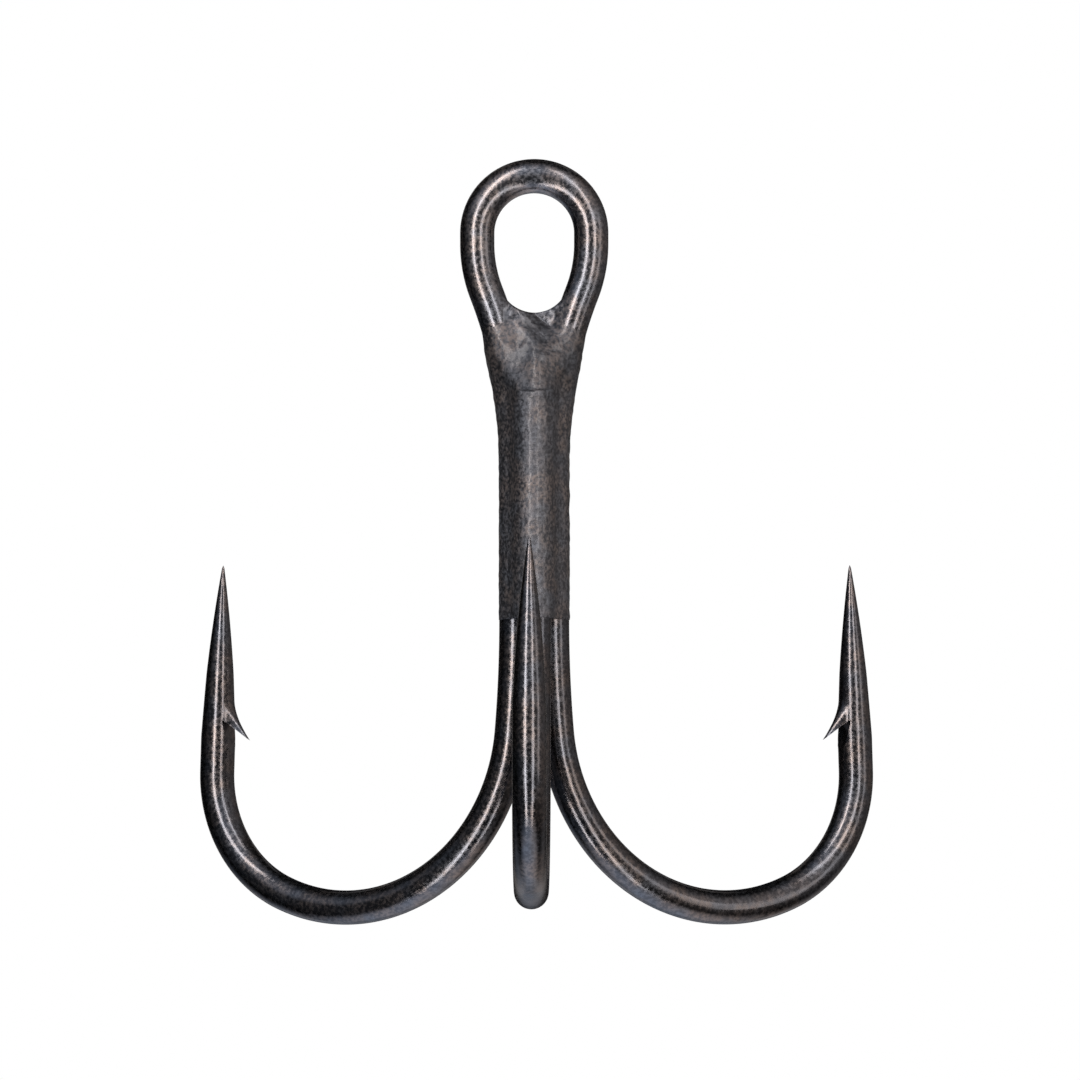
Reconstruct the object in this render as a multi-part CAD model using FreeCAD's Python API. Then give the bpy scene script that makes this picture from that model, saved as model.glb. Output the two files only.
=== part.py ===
import FreeCAD, Part
import math
import os

from FreeCAD import Vector

# Treble hook: a double hook bent from one length of round wire, with the eye in its middle,
# and a single hook brazed into the groove between the double hook's two shanks.
# Millimetres. The origin is the centre of the eye's opening and +Z runs up the shanks.
# Y is the way a split ring passes through the eye, and the single hook opens towards -Y.

# Wire
wire_diameter = 1.40
joint_gap = 0.05            # braze gap between neighbouring shanks

# Eye, and the two legs that run together below it
eye_width = 3.24            # inside, across the opening
eye_height = 4.88           # inside, from the top bend down to the braze
eye_side = 0.45             # straight side under the top bend
leg_upper_radius = 5.5      # the legs turn in towards each other
leg_lower_radius = 18.0     # and then back to parallel

# Shanks, both measured down from the centre of the eye
single_top_depth = 5.82     # cut end of the single hook's shank
braze_end_depth = 14.95     # end of the braze, where the three shanks part

# Bend of each hook, from the shank round to the spear
flare_radius = 47.4         # slow curve away from the other shanks
flare_angle = 5.5
heel_radius = 7.72          # round of the bend next to the shank
heel_angle = 109.0
toe_radius = 5.33           # tighter round under the spear
spear_lean = 1.95           # degrees, in towards the shank
spear_length = 8.40         # straight, from the bend to the tip

# Needle point, ground on the end of the spear
point_length = 6.50
point_bulge = 0.08          # how far its side stands out from a straight cone
tip_radius = 0.035

# Barb, a sliver cut from the inner side of the spear and lifted
barb_from_tip = 6.33        # tip of the hook to the root of the barb
barb_cut_length = 1.30
barb_cut_angle = 11.5
barb_lift_angle = 39.5
blade_run_in = 0.20         # the blade starts this far below the sliver, outside the wire

# Braze
seam_wet_angle = 30.0       # how far round each wire a seam climbs, from the seam's middle
seam_sag = 0.05             # hollow of a seam's face
web_thickness = 1.00        # front to back, between the legs
web_edge_radius = 1.43      # hollow edge under the eye's opening
ramp_top_depth = 3.40       # below the centre of the eye, where the ramp meets the web
ramp_lap = 0.10             # how far its top laps on to each leg
ramp_proud = 0.12           # how far its top stands in front of the legs

# Worked out from the sizes above
wire_radius = wire_diameter / 2
shank_spacing = wire_diameter + joint_gap
shank_offset = shank_spacing / math.sqrt(3)     # each shank from the hook's own axis
pair_offset = shank_offset / 2                  # plane of the double wire from that axis
eye_half = eye_width / 2 + wire_radius
eye_bend_height = eye_height / 2 - eye_width / 2
web_front = pair_offset - web_thickness / 2
single_top = -single_top_depth
braze_end = -braze_end_depth
leg_radii = leg_upper_radius + leg_lower_radius
leg_angle = math.acos(1 - (eye_half - shank_spacing / 2) / leg_radii)
leg_end = eye_bend_height - eye_side - leg_radii * math.sin(leg_angle)

DOWN = Vector(0, 0, -1)
ACROSS = Vector(0, 1, 0)
UP = Vector(0, 0, 1)


def join(solids):
    """Melt solids that meet face to face into one."""
    whole = solids[0].fuse(solids[1:]).removeSplitter()
    if len(whole.Solids) != 1:
        raise RuntimeError("the wire came out in %d pieces" % len(whole.Solids))
    return whole.Solids[0]


def straight_wire(start, direction, length):
    return Part.makeCylinder(wire_radius, length, start, direction)


def curved_wire(start, direction, radius, degrees):
    """Wire that turns about Y: heading down, positive degrees turn it towards +X."""
    side = 1 if degrees > 0 else -1
    towards_centre = ACROSS.cross(direction) * -side
    centre = start + towards_centre * radius
    section = Part.Face(Part.Wire(Part.makeCircle(wire_radius, start, direction)))
    return section.revolve(centre, ACROSS * -side, abs(degrees)), centre


def turned(vector, degrees):
    return FreeCAD.Rotation(ACROSS, -degrees).multVec(vector)


def bend_wire(start, direction, steps):
    """Bend a wire through (length, 0) runs and (radius, degrees) curves, and give its end."""
    solids = []
    for size, degrees in steps:
        if degrees == 0:
            solids.append(straight_wire(start, direction, size))
            start = start + direction * size
        else:
            solid, centre = curved_wire(start, direction, size, degrees)
            solids.append(solid)
            start = centre + turned(start - centre, degrees)
            direction = turned(direction, degrees)
    return solids, start, direction


def needle_point(base, direction):
    """The ground point: a slim cone with slightly bulged sides and a blunted tip."""
    middle_radius = (wire_radius + tip_radius) / 2 + point_bulge
    side = Part.Arc(
        Vector(wire_radius, 0, 0),
        Vector(middle_radius, 0, point_length / 2),
        Vector(tip_radius, 0, point_length),
    ).toShape()
    end = Part.makeLine(Vector(tip_radius, 0, point_length), Vector(0, 0, point_length))
    axis = Part.makeLine(Vector(0, 0, point_length), Vector(0, 0, 0))
    floor = Part.makeLine(Vector(0, 0, 0), Vector(wire_radius, 0, 0))
    point = Part.Face(Part.Wire([side, end, axis, floor])).revolve(Vector(0, 0, 0), UP, 360)
    point.Placement = FreeCAD.Placement(base, FreeCAD.Rotation(UP, direction))
    return point


def raise_barb(hook, tip, direction):
    """Slice a sliver up the inner side of the spear and lift it about its root."""
    inward = ACROSS.cross(direction) * -1
    slope = math.tan(math.radians(barb_cut_angle))
    root_surface = tip - direction * barb_from_tip + inward * wire_radius
    root = root_surface - inward * barb_cut_length * slope
    entry = root_surface - direction * (barb_cut_length + blade_run_in) + inward * blade_run_in * slope
    clear = inward * wire_radius
    half_width = ACROSS * wire_diameter
    corners = [root, entry, entry + clear, root_surface + clear, root]
    blade = Part.Face(Part.makePolygon([corner - half_width for corner in corners]))
    blade = blade.extrude(half_width * 2)
    sliver = hook.common(blade)
    sliver.rotate(root, ACROSS, barb_lift_angle)
    return join([hook.cut(blade).Solids[0], sliver.Solids[0]])


def hook_arm():
    """One hook from the end of the braze to its tip, in the XZ plane, its shank on the +X side."""
    toe_angle = 180 + spear_lean - flare_angle - heel_angle
    steps = [
        (flare_radius, flare_angle),
        (heel_radius, heel_angle),
        (toe_radius, toe_angle),
        (spear_length - point_length, 0),
    ]
    solids, base, direction = bend_wire(Vector(shank_offset, 0, braze_end), DOWN, steps)
    point = needle_point(base, direction)
    return raise_barb(join(solids + [point]), base + direction * point_length, direction)


def turn_about_axis(shape, degrees):
    copy = shape.copy()
    copy.rotate(Vector(0, 0, 0), UP, degrees)
    return copy


def double_hook_wire():
    """Eye bend, two legs, two shanks and two hooks, bent from one length of wire."""
    arm = turn_about_axis(hook_arm(), 30)
    steps = [
        (eye_side, 0),
        (leg_upper_radius, -math.degrees(leg_angle)),
        (leg_lower_radius, math.degrees(leg_angle)),
        (leg_end - braze_end, 0),
    ]
    top = Vector(eye_half, pair_offset, eye_bend_height)
    leg, _, _ = bend_wire(top, DOWN, steps)
    half = join(leg + [arm])
    other_half = half.mirror(Vector(0, 0, 0), Vector(1, 0, 0))
    eye_bend, _ = curved_wire(top, UP, eye_half, 180)
    return join([eye_bend, half, other_half])


def single_hook_wire():
    """A straight shank, cut square at the top, and one hook."""
    shank = straight_wire(Vector(shank_offset, 0, single_top), DOWN, single_top - braze_end)
    return turn_about_axis(join([shank, hook_arm()]), -90)


def braze_seam(direction, wires):
    """Braze in the outer groove between two shanks, with a slightly hollow face."""
    wet = math.radians(seam_wet_angle)
    neck = shank_offset / 2
    reach = neck + wire_radius * math.cos(wet)
    width = shank_spacing / 2 - wire_radius * math.sin(wet)
    flank = shank_spacing / 2
    outline = Part.makePolygon([
        Vector(reach, -width, braze_end),
        Vector(neck, -flank, braze_end),
        Vector(neck, flank, braze_end),
        Vector(reach, width, braze_end),
    ])
    face = Part.Arc(
        Vector(reach, width, braze_end),
        Vector(reach - seam_sag, 0, braze_end),
        Vector(reach, -width, braze_end),
    ).toShape()
    section = Part.Face(Part.Wire(outline.Edges + [face]))
    seam = section.extrude(UP * (single_top - braze_end))
    return turn_about_axis(seam, direction).cut(wires)


def braze_core(wires):
    """Braze drawn up the three-cornered channel that the shanks enclose."""
    corners = []
    for degrees in (-90, 30, 150, -90):
        angle = math.radians(degrees)
        corner = Vector(shank_offset * math.cos(angle), shank_offset * math.sin(angle), braze_end)
        corners.append(corner)
    section = Part.Face(Part.makePolygon(corners))
    return section.extrude(UP * (single_top - braze_end)).cut(wires)


def braze_eye_web(wires):
    """Braze that fills the V between the legs and rounds off the bottom of the eye."""
    height = web_edge_radius - eye_height / 2 - single_top
    plate = Part.makeBox(
        2 * eye_half, web_thickness, height, Vector(-eye_half, web_front, single_top)
    )
    opening_height = web_edge_radius - eye_height / 2
    opening = Part.makeCylinder(
        web_edge_radius, web_thickness, Vector(0, web_front, opening_height), ACROSS
    )
    middle = [s for s in plate.cut([opening] + wires).Solids if abs(s.CenterOfMass.x) < eye_width / 4]
    return middle[0]


def braze_ramp(wires):
    """Braze that runs from the single wire's cut end up and back, between the legs, on to the web."""
    foot = Part.Wire(Part.makeCircle(wire_radius, Vector(0, -shank_offset, single_top), UP))
    rise = -ramp_top_depth - leg_end
    closing = leg_lower_radius - math.sqrt(leg_lower_radius**2 - rise**2)
    top_radius = shank_spacing / 2 + closing - wire_radius + ramp_lap
    top_centre = Vector(0, pair_offset - wire_radius - ramp_proud + top_radius, -ramp_top_depth)
    top = Part.Wire(Part.makeCircle(top_radius, top_centre, UP))
    behind_web_face = Part.makeBox(
        2 * eye_half, 2 * wire_diameter, single_top_depth, Vector(-eye_half, web_front, single_top)
    )
    return Part.makeLoft([foot, top], True, True).cut(wires + [behind_web_face])


def write_node(name, shape):
    if len(shape.Solids) != 1 or not shape.isValid():
        raise RuntimeError("%s is not one valid solid" % name)
    solid = shape.Solids[0].copy()
    solid.translate(Vector(0, -pair_offset, 0))
    solid.exportStep("parts/%s.step" % name)


os.makedirs("parts", exist_ok=True)
double_wire = double_hook_wire()
single_wire = single_hook_wire()
both_wires = [double_wire, single_wire]
write_node("double_hook_wire", double_wire)
write_node("single_hook_wire", single_wire)
write_node("braze_rear_seam", braze_seam(90, both_wires))
write_node("braze_left_seam", braze_seam(-150, both_wires))
write_node("braze_right_seam", braze_seam(-30, both_wires))
write_node("braze_core", braze_core(both_wires))
write_node("braze_eye_web", braze_eye_web(both_wires))
write_node("braze_ramp", braze_ramp(both_wires))
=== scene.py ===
import math

import bmesh
import bpy
from mathutils import Matrix, Vector


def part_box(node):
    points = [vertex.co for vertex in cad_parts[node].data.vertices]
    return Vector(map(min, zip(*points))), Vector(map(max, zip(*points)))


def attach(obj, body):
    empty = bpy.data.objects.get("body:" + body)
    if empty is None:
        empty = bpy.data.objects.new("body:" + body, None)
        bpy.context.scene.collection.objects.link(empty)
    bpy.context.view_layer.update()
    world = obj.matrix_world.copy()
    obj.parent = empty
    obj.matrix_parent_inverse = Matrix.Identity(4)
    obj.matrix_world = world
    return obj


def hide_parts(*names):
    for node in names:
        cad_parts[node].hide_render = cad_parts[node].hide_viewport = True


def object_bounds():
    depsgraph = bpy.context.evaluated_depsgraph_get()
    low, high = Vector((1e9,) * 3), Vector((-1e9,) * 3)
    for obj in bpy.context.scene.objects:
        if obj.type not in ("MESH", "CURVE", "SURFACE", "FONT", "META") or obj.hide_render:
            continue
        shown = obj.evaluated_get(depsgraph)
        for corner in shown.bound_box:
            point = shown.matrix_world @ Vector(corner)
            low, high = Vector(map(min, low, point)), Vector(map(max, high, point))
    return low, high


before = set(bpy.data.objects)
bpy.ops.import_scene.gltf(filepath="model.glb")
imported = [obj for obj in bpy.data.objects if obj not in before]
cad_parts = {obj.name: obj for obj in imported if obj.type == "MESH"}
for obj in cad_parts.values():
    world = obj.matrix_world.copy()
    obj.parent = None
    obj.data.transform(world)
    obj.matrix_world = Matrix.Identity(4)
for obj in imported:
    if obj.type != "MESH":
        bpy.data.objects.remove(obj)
cad_low, cad_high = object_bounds()


# ---- Wire -------------------------------------------------------------------------------------
# Both wires are cut from one coil of hard round steel wire, 1.4 mm thick, which is drawn through
# a die that leaves fine lines along it. The finished hook is plated a slightly uneven grey-black.
# Sizes are in millimetres until a piece is finished.

wire_radius = 0.70
run_step = 0.12                 # longest step along the wire
bend_step = 2.0                 # most degrees turned in one step
facets_round = 64
millimetres = 1000              # in a metre
metres = Matrix.Scale(1 / millimetres, 4)


class Signal:
    """A node's output that takes part in Python sums. Each operator adds its own Math node."""

    def __init__(self, tree, output=None):
        self.tree = tree
        self.output = output

    def __getitem__(self, name):
        return Signal(self.tree, self.output.node.outputs[name])

    def node(self, kind, settings, sockets):
        """Any other node: its settings first, then a value or a signal for each named socket."""
        made = self.tree.nodes.new(kind)
        for name, setting in settings.items():
            setattr(made, name, setting)
        for name, value in sockets.items():
            if isinstance(value, Signal):
                self.tree.links.new(value.output, made.inputs[name])
            else:
                made.inputs[name].default_value = value
        return Signal(self.tree, made.outputs[0] if made.outputs else None)

    def math(self, operation, *values):
        return self.node("ShaderNodeMath", {"operation": operation}, dict(enumerate(values)))

    def __add__(self, other):
        return self.math("ADD", self, other)

    __radd__ = __add__

    def __sub__(self, other):
        return self.math("SUBTRACT", self, other)

    def __rsub__(self, other):
        return self.math("SUBTRACT", other, self)

    def __mul__(self, other):
        return self.math("MULTIPLY", self, other)

    __rmul__ = __mul__

    def __truediv__(self, other):
        return self.math("DIVIDE", self, other)

    def ramp(self, low, high, start=0.0, end=1.0):
        """Smooth change from start to end as this value goes from low to high."""
        settings = {"interpolation_type": "SMOOTHSTEP"}
        return self.node("ShaderNodeMapRange", settings, {0: self, 1: low, 2: high, 3: start, 4: end})

    def scaled(self, size):
        """A vector made longer or shorter."""
        return self.node("ShaderNodeVectorMath", {"operation": "SCALE"}, {0: self, "Scale": size})

    def noise(self, scale, detail):
        sockets = {"Vector": self, "Scale": scale, "Detail": detail}
        return self.node("ShaderNodeTexNoise", {}, sockets)["Fac"]

    def blend(self, first, second):
        """The first colour where this value is 0 and the second where it is 1."""
        return self.node("ShaderNodeMix", {"data_type": "RGBA"}, {0: self, 6: first, 7: second})[2]


def new_tree(name, inputs, output):
    """An empty Geometry Nodes tree with the named inputs and one geometry output."""
    tree = bpy.data.node_groups.new(name, "GeometryNodeTree")
    for title, kind in inputs.items():
        tree.interface.new_socket(title, in_out="INPUT", socket_type="NodeSocket" + kind)
    tree.interface.new_socket(output, in_out="OUTPUT", socket_type="NodeSocketGeometry")
    return tree


def drawn_wire_tree():
    """Sweeps a round section along a line and grinds a needle point on its ends."""
    inputs = {
        "Line": "Geometry", "Wire radius": "Float", "Point length": "Float", "Point bulge": "Float",
        "Tip radius": "Float", "Blunt start": "Float", "Facets": "Int", "Finish": "Material",
    }
    tree = new_tree("drawn_wire", inputs, "Wire")
    start = Signal(tree)
    given = start.node("NodeGroupInput", {}, {})
    radius = given["Wire radius"]
    tip = given["Tip radius"]

    far_off = 1000                  # a blunt end counts as this far from any tip
    end_flat = 0.05                 # share of the tip's radius that the cap at its very end keeps
    along = start.node("GeometryNodeSplineParameter", {}, {})["Length"]
    left = start.node("GeometryNodeSplineLength", {}, {})["Length"] - along
    from_tip = start.math("MINIMUM", left, along + given["Blunt start"] * far_off)
    share = start.math("MINIMUM", from_tip / given["Point length"], 1.0)
    taper = tip + (radius - tip) * share + given["Point bulge"] * 4 * share * (1 - share)
    nose = start.math("SQRT", tip * 2 * (from_tip + tip * end_flat))
    thickness = start.math("MINIMUM", taper, nose)

    circle = start.node("GeometryNodeCurvePrimitiveCircle", {}, {"Resolution": given["Facets"]})
    place = start.node("GeometryNodeInputPosition", {}, {})
    named = {"data_type": "FLOAT_VECTOR"}
    section = {"Geometry": circle, "Name": "section", "Value": place}
    circle = start.node("GeometryNodeStoreNamedAttribute", named, section)
    line = {"Geometry": given["Line"], "Name": "along", "Value": along}
    line = start.node("GeometryNodeStoreNamedAttribute", {"data_type": "FLOAT"}, line)
    sweep = {"Curve": line, "Profile Curve": circle, "Scale": thickness, "Fill Caps": True}
    wire = start.node("GeometryNodeCurveToMesh", {}, sweep)
    wire = start.node("GeometryNodeSetShadeSmooth", {}, {"Geometry": wire})
    wire = start.node("GeometryNodeRealizeInstances", {}, {"Geometry": wire})
    wire = start.node("GeometryNodeSetMaterial", {}, {"Geometry": wire, "Material": given["Finish"]})
    start.node("NodeGroupOutput", {}, {"Wire": wire})
    return tree


def grown(source, tree, inputs, name):
    """The plain mesh that a Geometry Nodes tree makes from an object, with the tree taken off."""
    modifier = source.modifiers.new("grow", "NODES")
    modifier.node_group = tree
    for socket in tree.interface.items_tree:
        if socket.name in inputs:
            modifier[socket.identifier] = inputs[socket.name]
    seen = source.evaluated_get(bpy.context.evaluated_depsgraph_get())
    mesh = bpy.data.meshes.new_from_object(seen)
    mesh.name = name
    source.modifiers.remove(modifier)
    bpy.data.objects.remove(source)
    return mesh


def shown(name, data):
    made = bpy.data.objects.new(name, data)
    bpy.context.scene.collection.objects.link(made)
    return made


def bent(x, z, heading, steps):
    """The line of a wire bent in one plane, and its heading in degrees from straight down.

    A step is (length, 0) for a straight run or (radius, degrees turned) for a bend."""
    line = [(x, z)]
    for size, turn in steps:
        length = size * math.radians(abs(turn)) if turn else size
        count = math.ceil(max(length / run_step, abs(turn) / bend_step))
        half_turn = turn / count / 2
        step = 2 * size * math.sin(math.radians(abs(half_turn))) if turn else size / count
        for _ in range(count):
            heading += half_turn
            x += step * math.sin(math.radians(heading))
            z -= step * math.cos(math.radians(heading))
            heading += half_turn
            line.append((x, z))
    return line, heading


def wire_line(name, points):
    """A curve object that runs straight from point to point."""
    curve = bpy.data.curves.new(name, "CURVE")
    curve.dimensions = "3D"
    spline = curve.splines.new("POLY")
    spline.points.add(len(points) - 1)
    for point, place in zip(spline.points, points):
        point.co = (*place, 1)
    return shown(name, curve)


cool_grey = (0.170, 0.178, 0.198, 1)
warm_grey = (0.240, 0.208, 0.196, 1)
dark_grey = (0.085, 0.087, 0.096, 1)
tone_change = (-18.0, -5.0)     # heights between which the tone of the hooks turns to the shank's
top_change = (-6.5, -5.2)       # and the shank's to that of the metal below the eye
eye_change = (-3.9, -2.6)       # heights between which the surface turns as smooth as the eye's
eye_smoothing = 0.75            # share of the grain that is gone there
grain_shine = 0.20              # how far the grain and the drawing lines change the roughness
lines_shine = 0.12
lines_stretch = 0.05            # the drawing lines change this slowly along the wire


def plated_metal(name, grain_depth, lines_depth, roughness, eye_roughness, unevenness,
                 low_tone, top_tone, coat):
    """Blackened plating: dark grey metal, uneven in tone, with a fine grain and drawing lines.

    Depths are in millimetres. The tones lighten or darken the hooks and the metal near the eye."""
    finish = bpy.data.materials.new(name)
    finish.use_nodes = True
    tree = finish.node_tree
    tree.nodes.clear()
    start = Signal(tree)
    place = start.node("ShaderNodeTexCoord", {}, {})["Object"].scaled(millimetres)
    height = start.node("ShaderNodeSeparateXYZ", {}, {0: place})["Z"]
    section = start.node("ShaderNodeAttribute", {"attribute_name": "section"}, {})["Vector"]
    along = start.node("ShaderNodeAttribute", {"attribute_name": "along"}, {})["Fac"]
    stretched = start.node("ShaderNodeCombineXYZ", {}, {"Z": along * lines_stretch})
    drawn = start.node("ShaderNodeVectorMath", {"operation": "ADD"}, {0: section, 1: stretched})

    grain = place.noise(scale=7.5, detail=3.0)
    cloud = place.noise(scale=2.6, detail=2.0)
    patches = place.noise(scale=0.9, detail=2.0)
    lines = drawn.noise(scale=22.0, detail=2.0)

    tone = patches.ramp(0.35, 0.65).blend(cool_grey, warm_grey)
    mottle = (grain * 0.7 + cloud * 0.3).ramp(0.40, 0.60, 1 - unevenness, 1.0)
    shade = height.ramp(*tone_change, low_tone, 1.0) * height.ramp(*top_change, 1.0, top_tone)
    colour = mottle.blend(dark_grey, tone).scaled(shade)

    near_eye = height.ramp(*eye_change)
    shine = near_eye * (eye_roughness - roughness) + roughness
    shine = shine + (grain.ramp(0.3, 0.7) - 0.5) * unevenness * grain_shine
    shine = shine + (lines - 0.5) * lines_shine
    relief = grain * (1 - near_eye * eye_smoothing) * grain_depth + lines * lines_depth
    bump = {"Strength": 1.0, "Distance": 1 / millimetres, "Height": relief}
    bump = start.node("ShaderNodeBump", {}, bump)
    sockets = {"Base Color": colour, "Metallic": 1.0, "Roughness": shine, "Normal": bump}
    sockets |= {"Coat Weight": coat, "Coat Roughness": 0.15}
    metal = start.node("ShaderNodeBsdfPrincipled", {}, sockets)
    start.node("ShaderNodeOutputMaterial", {}, {"Surface": metal})
    return finish


wire_tree = drawn_wire_tree()
wire_finish = plated_metal(
    "blackened_wire", grain_depth=0.0015, lines_depth=0.0015, roughness=0.23, eye_roughness=0.27,
    unevenness=0.75, low_tone=0.76, top_tone=1.06, coat=0.0,
)


# ---- Double hook wire -------------------------------------------------------------------------
# One length of wire makes the eye, the two legs below it, two shanks and two hooks. It is bent
# round a pin at its middle, and each end is bent outwards into a round hook bend.

double_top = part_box("double_hook_wire")[1].z * millimetres
single_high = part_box("single_hook_wire")[1]
braze_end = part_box("braze_left_seam")[0].z * millimetres
single_top = single_high.z * millimetres
single_y = single_high.y * millimetres - wire_radius
axis_y = single_y / 3               # the three shanks stand round this line
shank_offset = axis_y - single_y
half_spacing = shank_offset * math.sqrt(3) / 2

eye_radius = 2.32                   # to the middle of the wire
eye_side = 0.45                     # straight run under the eye's top bend
leg_upper_radius = 5.5              # the legs turn in towards each other
leg_lower_radius = 18.0             # and back to parallel
leg_radii = leg_upper_radius + leg_lower_radius
leg_turn = math.degrees(math.acos(1 - (eye_radius - half_spacing) / leg_radii))
eye_centre = double_top - wire_radius - eye_radius
leg_end = eye_centre - eye_side - leg_radii * math.sin(math.radians(leg_turn))

flare = (47.4, 5.5)                 # radius and degrees turned
heel = (7.72, 109.0)
toe_radius = 5.33
spear_lean = 1.95                   # degrees, in towards the shanks
spear_length = 8.40
side_hook = 30                      # which way a hook stands out, in degrees from straight right
front_hook = -90
point = {"Point length": 6.50, "Point bulge": 0.08, "Tip radius": 0.035}


def hook_line():
    """Bend and spear of a hook: distance out from the shanks' middle, and height."""
    toe = (toe_radius, 180 + spear_lean - flare[1] - heel[1])
    line, _ = bent(shank_offset, braze_end, 0, [flare, heel, toe, (spear_length, 0)])
    return line


def turned_out(line, degrees):
    """A hook's line stood round the shanks' middle, facing the given way."""
    across, back = math.cos(math.radians(degrees)), math.sin(math.radians(degrees))
    return [Vector((out * across, axis_y + out * back, z)) for out, z in line]


eye_and_leg = [
    (eye_radius, -90), (eye_side, 0), (leg_upper_radius, -leg_turn), (leg_lower_radius, leg_turn),
    (leg_end - braze_end, 0),
]
half, _ = bent(0, eye_centre + eye_radius, 90, eye_and_leg)
right_half = [Vector((x, 0, z)) for x, z in half] + turned_out(hook_line(), side_hook)[1:]
left_half = [Vector((-spot.x, spot.y, spot.z)) for spot in right_half]
double_line = left_half[:0:-1] + right_half

wire_sizes = point | {"Wire radius": wire_radius, "Facets": facets_round, "Finish": wire_finish}
double_sizes = wire_sizes | {"Blunt start": 0.0}
double_mesh = grown(wire_line("double_line", double_line), wire_tree, double_sizes, "double")


# ---- Barbs ------------------------------------------------------------------------------------
# A blade slices up the inner side of each spear and pushes the sliver outwards. Each barb is a
# thorn that swells out of the spear and overhangs a flat notch, with its underside cut sharp.

barb_from_tip = 6.33                # tip of the hook to the edge of the notch
barb_cut_depth = 0.26
barb_cut_length = 1.30              # the notch runs out to the surface over this length
barb_under_slope = 1.35             # how fast the underside runs outwards
swell_above = 0.75                  # where the spear starts to swell, above the notch
swell_slope = 0.25
swell_curve = 0.18
swell_fades = 0.88                  # below the notch, past the barb's tip, where the blade cuts
swell_ends = 1.05
swell_depth = wire_radius * 1.1     # only the inner side of the spear swells
start_half_width = 0.42             # of the barb, where it starts to swell
tip_half_width = 0.28
blade_reach = 1.6                   # the blade's size outside the wire
blade_run_out = 0.2                 # it goes on past the notch by this share of its length
sharp_edge = math.radians(35)


def plate(corners, half_width, side):
    """A flat closed plate with the given corners."""
    mesh = bpy.data.meshes.new("blade")
    form = bmesh.new()
    front = [form.verts.new(corner - side * half_width) for corner in corners]
    back = [form.verts.new(corner + side * half_width) for corner in corners]
    form.faces.new(front)
    form.faces.new(back[::-1])
    for index in range(len(corners)):
        after = (index + 1) % len(corners)
        form.faces.new((front[index], back[index], back[after], front[after]))
    bmesh.ops.recalc_face_normals(form, faces=form.faces)
    form.to_mesh(mesh)
    form.free()
    return mesh


def cut_away(mesh, tool):
    """The mesh with the tool's space cut out of it."""
    body, other = shown("body", mesh), shown("tool", tool)
    modifier = body.modifiers.new("cut", "BOOLEAN")
    modifier.solver = "EXACT"
    modifier.object = other
    seen = body.evaluated_get(bpy.context.evaluated_depsgraph_get())
    result = bpy.data.meshes.new_from_object(seen)
    bpy.data.objects.remove(body)
    bpy.data.objects.remove(other)
    return result


def barbed(mesh, tip, base):
    """The wire with its barb raised. Tip and base are the two ends of the spear's middle line."""
    up = (tip - base).normalized()
    inward = Vector((-tip.x, axis_y - tip.y, 0))
    inward = (inward - up * inward.dot(up)).normalized()
    side = inward.cross(up)
    level = tip - up * barb_from_tip
    for vertex in mesh.vertices:
        offset = vertex.co - level
        below = swell_above - offset.dot(up)
        down = below / (swell_above + swell_fades)
        half_width = start_half_width + (tip_half_width - start_half_width) * down
        aside = offset.dot(side) / max(half_width, tip_half_width)
        on_barb = 0 < below < swell_above + swell_ends and abs(aside) < 1
        if on_barb and 0 < offset.dot(inward) < swell_depth:
            swell = swell_slope * below + swell_curve * below ** 2
            past = (below - swell_above - swell_fades) / (swell_ends - swell_fades)
            fade = min(1.0, 1 - past)
            vertex.co += inward * swell * fade * (1 - aside ** 2)
    root = level + inward * (wire_radius - barb_cut_depth)
    overhang = root + (inward * barb_under_slope - up) * blade_reach
    run_out = level + inward * wire_radius - up * barb_cut_length
    entry = run_out + (run_out - root) * blade_run_out
    clear = overhang - up * blade_reach
    return cut_away(mesh, plate([root, overhang, clear, entry], wire_radius * 2, side))


double_mesh = barbed(double_mesh, double_line[-1], double_line[-2])
double_mesh = barbed(double_mesh, double_line[0], double_line[1])
double_mesh.transform(metres)
double_mesh.set_sharp_from_angle(angle=sharp_edge)
double_wire = shown("double_wire", double_mesh)
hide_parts("double_hook_wire")
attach(double_wire, "root")


# ---- Single hook wire -------------------------------------------------------------------------
# The third hook is a separate wire. Its shank is cut square at the top and lies in the groove
# between the double wire's two shanks, in front.

shank_steps = 60
shank_step = (single_top - braze_end) / shank_steps
shank = [(shank_offset, single_top - shank_step * index) for index in range(shank_steps)]
single_line = turned_out(shank + hook_line(), front_hook)
single_sizes = wire_sizes | {"Blunt start": 1.0}
single_mesh = grown(wire_line("single_line", single_line), wire_tree, single_sizes, "single")
single_mesh = barbed(single_mesh, single_line[-1], single_line[-2])
single_mesh.transform(metres)
single_mesh.set_sharp_from_angle(angle=sharp_edge)
single_wire = shown("single_wire", single_mesh)
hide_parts("single_hook_wire")
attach(single_wire, "root")


# ---- Braze ------------------------------------------------------------------------------------
# Brazing metal, plated dark with the wires, holds the three shanks together. It fills the grooves
# between them, lies over them as a thin film, climbs as a ramp from the single wire's cut end and
# closes the V below the eye with a web.

braze_nodes = [
    "braze_rear_seam", "braze_left_seam", "braze_right_seam",
    "braze_core", "braze_eye_web", "braze_ramp",
]
braze_cell = 0.05                   # side of the cells that the braze is grown in
braze_room = 0.2                    # empty cells past its end
fill_change = (-4.5, -2.5)          # heights between which the fill of the grooves gives out
fill_loss = 0.9
film_change = (-8.5, -6.0)          # the film turns from its low to its high thickness
film_loss_change = (-4.6, -2.2)     # and then sinks into the legs
film_sunk = 0.05

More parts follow.
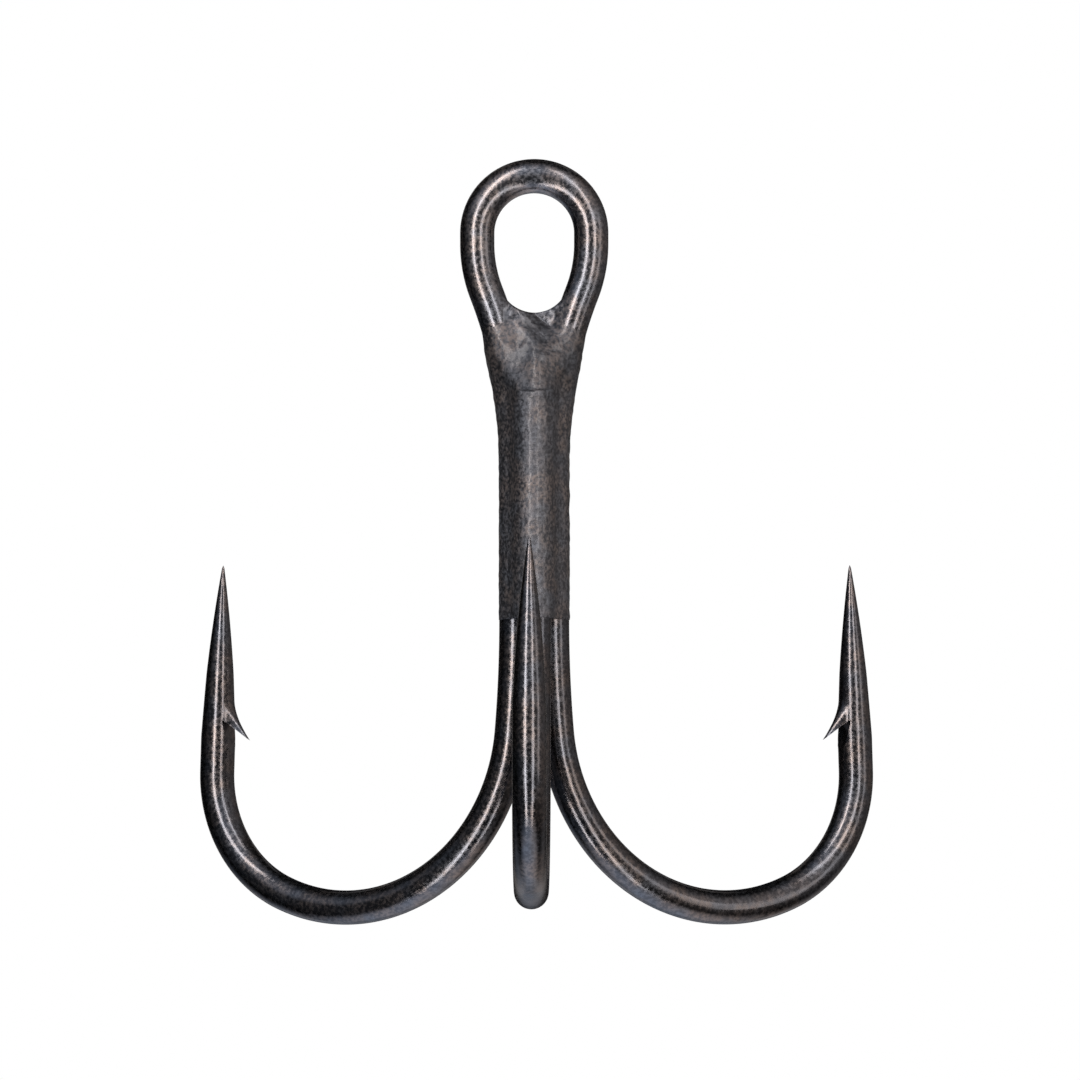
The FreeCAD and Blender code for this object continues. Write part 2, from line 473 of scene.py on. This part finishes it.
ramp_proud = 0.02                   # how far the ramp's foot stands in front of the single wire
ramp_slope = 0.42
ridge_change = (-4.3, -2.2)         # the ridge of the ramp turns to the left on the web
ridge_x = (0.15, -0.65)
front_change = (-3.6, -2.2)         # the web's front falls back towards its rim
front_y = (-0.66, -0.42)
left_fall = 0.42                    # slopes of the two faces beside the ridge
right_fall = 0.50
face_limit = -0.25                  # neither face comes further back than this
ridge_round = 0.35
foot_half_width = 0.66
left_spread = 0.42                  # how fast the ramp widens as it climbs
right_spread = 0.20
wedge_round = 0.70
joint_round = 0.20                  # between the single wire's end and the ramp

rim_round = 0.70                    # of the web's rim under the opening
rim_change = (-2.2, -1.5)           # the web thins out along the legs
rim_loss = 0.30
web_change = (-3.4, -2.2)
web_round = (0.35, 0.80)            # fillet between the web and the legs
web_top = -1.5
broad_lumps = 0.05                  # unevenness of the whole skin
small_lumps = 0.07


def braze_tree():
    """Grows the braze: everything nearer to the wires than its film, filleted where they meet."""
    inputs = {
        "Start": "Geometry", "Wire radius": "Float", "Groove fill": "Float", "Film low": "Float",
        "Film high": "Float", "Web half thickness": "Float", "Opening radius": "Float",
        "Opening centre": "Float", "Finish": "Material",
    }
    tree = new_tree("braze", inputs, "Braze")
    start = Signal(tree)
    given = start.node("NodeGroupInput", {}, {})
    place = start.node("GeometryNodeInputPosition", {}, {})
    x = start.node("ShaderNodeSeparateXYZ", {}, {0: place})
    y = x["Y"]
    z = x["Z"]

    def hypot(a, b):
        return start.math("SQRT", a * a + b * b)

    def most(a, b, softness=0.0):
        return start.math("SMOOTH_MAX", a, b, softness) if softness else start.math("MAXIMUM", a, b)

    def least(a, b, softness=0.0):
        return start.math("SMOOTH_MIN", a, b, softness) if softness else start.math("MINIMUM", a, b)

    # The two legs, with the space outside them, and the single wire up to its cut end
    rise = most(z - leg_end, 0.0)
    outsides = []
    legs = []
    for side in (-1, 1):
        from_pivot = hypot(leg_lower_radius + half_spacing - x * side, rise)
        outsides.append(leg_lower_radius - from_pivot)
        legs.append(hypot(leg_lower_radius - from_pivot, y) - given["Wire radius"])
    outside = most(outsides[0], outsides[1])
    single = hypot(x, y - single_y) - given["Wire radius"]
    single = most(single, z - single_top)

    # The ramp, a roof with a ridge that leans back as it climbs
    climb = z - single_top
    ridge = z.ramp(*ridge_change, *ridge_x)
    web_front = z.ramp(*front_change, *front_y)
    ridge_y = least(climb * ramp_slope + (single_y - wire_radius - ramp_proud), web_front)
    left_face = least(ridge_y + (ridge - x) * left_fall, face_limit) - y
    right_face = least(ridge_y + (x - ridge) * right_fall, face_limit) - y
    roof = most(left_face, right_face, ridge_round)
    left_flank = climb * -left_spread - foot_half_width - x
    right_flank = x - climb * right_spread - foot_half_width
    wedge = most(roof, most(left_flank, right_flank), wedge_round)
    wedge = most(most(wedge, y), outside)
    wedge = most(wedge, single_top - z)
    single = least(single, wedge, joint_round)

    # The grooves between the shanks, and the film over them
    film = given["Film low"] + z.ramp(*film_change) * (given["Film high"] - given["Film low"])
    film = film - z.ramp(*film_loss_change) * (given["Film high"] + film_sunk)
    fill = given["Groove fill"] - z.ramp(*fill_change) * fill_loss
    shanks = least(least(legs[0], legs[1], fill), single, fill) - film

    # The web, hollow along its rim
    rim = given["Opening radius"] - hypot(x, z - given["Opening centre"])
    web = most(most(roof, y - given["Web half thickness"]), web_front - y)
    web = most(most(web, outside), single_top - z)
    web = most(web, rim, rim_round) + z.ramp(*rim_change) * rim_loss
    lumps = (place.noise(scale=0.8, detail=1.0) - 0.5) * broad_lumps
    lumps = lumps + (place.noise(scale=2.6, detail=1.0) - 0.5) * small_lumps
    whole = least(shanks, web, z.ramp(*web_change, *web_round)) - lumps
    whole = most(most(whole, z - web_top), rim)
    whole = most(whole, braze_end - z)

    low = Vector((-2.6, -2.3, braze_end - braze_room))
    high = Vector((2.6, 1.1, -braze_room))
    cells = [math.ceil(side / braze_cell) for side in high - low]
    sockets = {"Density": whole * -1, "Background": -1.0, "Min": low, "Max": high}
    sockets |= {"Resolution X": cells[0], "Resolution Y": cells[1], "Resolution Z": cells[2]}
    volume = start.node("GeometryNodeVolumeCube", {}, sockets)
    braze = start.node("GeometryNodeVolumeToMesh", {}, {"Volume": volume, "Threshold": 0.0})
    braze = start.node("GeometryNodeSetShadeSmooth", {}, {"Geometry": braze})
    braze = start.node("GeometryNodeRealizeInstances", {}, {"Geometry": braze})
    braze = start.node("GeometryNodeSetMaterial", {}, {"Geometry": braze, "Material": given["Finish"]})
    start.node("NodeGroupOutput", {}, {"Braze": braze})
    return tree


braze_finish = plated_metal(
    "blackened_braze", grain_depth=0.032, lines_depth=0.0, roughness=0.58, eye_roughness=0.36,
    unevenness=0.95, low_tone=1.0, top_tone=0.68, coat=0.30,
)
braze_sizes = {
    "Wire radius": wire_radius, "Groove fill": 1.6, "Film low": 0.015, "Film high": 0.07,
    "Web half thickness": 0.48, "Opening radius": 1.43, "Opening centre": -1.01,
    "Finish": braze_finish,
}
seed = shown("braze_seed", bpy.data.meshes.new("braze_seed"))
braze_mesh = grown(seed, braze_tree(), braze_sizes, "braze")
braze_mesh.transform(metres)
braze = shown("braze", braze_mesh)
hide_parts(*braze_nodes)
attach(braze, "root")


# ---- Floor, lights and camera -----------------------------------------------------------------
# The hook hangs well above a pale floor in a white studio. Two tall narrow lights stand in front
# of it, a short one further to the right and two faint ones behind. All of this is in metres.

floor_drop = 0.24
floor_radius = 12
floor_place = (0, 0, cad_low.z - floor_drop)
bpy.ops.mesh.primitive_circle_add(
    vertices=64, radius=floor_radius, fill_type="NGON", location=floor_place
)
floor = bpy.context.object
floor.name = "floor"
floor_finish = bpy.data.materials.new("pale_floor")
floor_finish.use_nodes = True
floor_shader = floor_finish.node_tree.nodes["Principled BSDF"]
floor_shader.inputs["Base Color"].default_value = (0.9, 0.9, 0.9, 1)
floor_shader.inputs["Roughness"].default_value = 0.9
floor.data.materials.append(floor_finish)
floor.visible_glossy = False

# Reflections see a dark studio with a lit ceiling, right side and ground, and all else sees white
ceiling_light = 0.55
side_light = 0.24
ground_light = 0.5              # on the ground behind the hook
under_light = 1.1               # and straight below it
front_light = 0.06
least_light = 0.006
cool_light = (0.85, 0.93, 1.10, 1)
warm_light = (1.08, 0.98, 0.95, 1)

world = bpy.data.worlds.new("studio")
world.use_nodes = True
world.node_tree.nodes.clear()
bpy.context.scene.world = world
start = Signal(world.node_tree)
toward = start.node("ShaderNodeTexCoord", {}, {})["Generated"]
right = start.node("ShaderNodeSeparateXYZ", {}, {0: toward})
back, up = right["Y"], right["Z"]
front = back * -1
down = up * -1
ceiling = front.ramp(-0.2, 0.7) * up.ramp(0.1, 0.5) * ceiling_light
side = right.ramp(0.45, 0.95) * up.ramp(-0.9, 0.2) * side_light
ground = down.ramp(0.1, 0.6) * back.ramp(0.2, 0.8) * ground_light
ground = ground + down.ramp(0.70, 0.95) * under_light
surround = ceiling + side + ground + front.ramp(-0.2, 0.4) * front_light + least_light
tint = right.ramp(-0.2, 0.6).blend(cool_light, warm_light)
studio = start.node("ShaderNodeBackground", {}, {"Color": tint, "Strength": surround})
white = start.node("ShaderNodeBackground", {}, {"Color": (1, 1, 1, 1), "Strength": 1.0})
glossy = start.node("ShaderNodeLightPath", {}, {})["Is Glossy Ray"]
mixed = start.node("ShaderNodeMixShader", {}, {0: glossy, 1: white, 2: studio})
start.node("ShaderNodeOutputWorld", {}, {"Surface": mixed})

# Each strip light: degrees round to the right from straight in front, height and brightness
strips = ((-26, 1.5, 10.0), (26, 1.5, 6.0), (64, 0.3, 2.0), (156, 1.5, 0.25), (204, 1.5, 0.25))
strip_distance = 0.5
strip_width = 0.09
strip_colour = (1.0, 0.94, 0.91)
centre = (cad_low + cad_high) / 2
for degrees, height, radiance in strips:
    lamp = bpy.data.lights.new("strip", "AREA")
    lamp.shape = "RECTANGLE"
    lamp.size = strip_width
    lamp.size_y = height
    lamp.energy = radiance * math.pi * lamp.size * lamp.size_y
    lamp.color = strip_colour
    strip = shown("strip_light", lamp)
    angle = math.radians(degrees)
    away = Vector((math.sin(angle), -math.cos(angle), 0))
    strip.location = centre + away * strip_distance
    strip.rotation_euler = away.to_track_quat("Z", "Y").to_euler()
    strip.visible_camera = False

camera_distance = 1.9
camera_azimuth = math.radians(0.75)
camera_elevation = math.radians(-3.2)
frame_width = 0.04395
aim = Vector((0.000235, 0, -0.011695))
lens = bpy.data.cameras.new("camera")
lens.sensor_width = 36
lens.lens = lens.sensor_width * camera_distance / frame_width
camera = shown("camera", lens)
level = math.cos(camera_elevation)
across = math.sin(camera_azimuth) * level
ahead = math.cos(camera_azimuth) * level
away = Vector((across, -ahead, math.sin(camera_elevation)))
camera.location = aim + away * camera_distance
camera.rotation_euler = away.to_track_quat("Z", "Y").to_euler()
bpy.context.scene.camera = camera
bpy.context.scene.view_settings.view_transform = "Standard"
